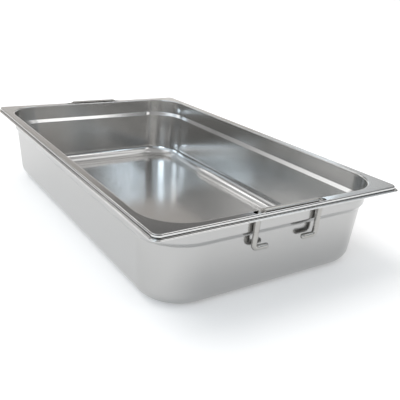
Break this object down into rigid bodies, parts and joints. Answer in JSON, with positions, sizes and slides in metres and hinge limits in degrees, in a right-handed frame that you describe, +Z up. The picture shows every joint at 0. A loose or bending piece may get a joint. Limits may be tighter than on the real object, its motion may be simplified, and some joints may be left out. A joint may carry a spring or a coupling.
{
  "type": "food pan",
  "caption": "Rectangular stainless steel food pan with a stepped flange, a stacking shoulder, rounded corners and a wire handle that drops into a recess at each short end.",
  "frame": {"origin": "middle of the pan's flat underside", "axes": "+Z up out of the opening, Y along the pan's length with front_handle at -Y, X across its width"},
  "size_m": [0.325, 0.53, 0.1034],
  "materials": {
    "drawn_steel": "satin",
    "wire_steel": "satin"
  },
  "bodies": {
    "pan": {"pan_body": "drawn_steel"},
    "front_grip": {"front_handle": "wire_steel"},
    "rear_grip": {"rear_handle": "wire_steel"}
  },
  "joints": [
    {"name": "front_handle_slide", "type": "slide", "parent": "pan", "child": "front_grip", "axis": [0, -0.0645, 0.9979], "range_m": [0, 0.0333]},
    {"name": "rear_handle_slide", "type": "slide", "parent": "pan", "child": "rear_grip", "axis": [0, 0.0645, 0.9979], "range_m": [0, 0.0333]}
  ]
}
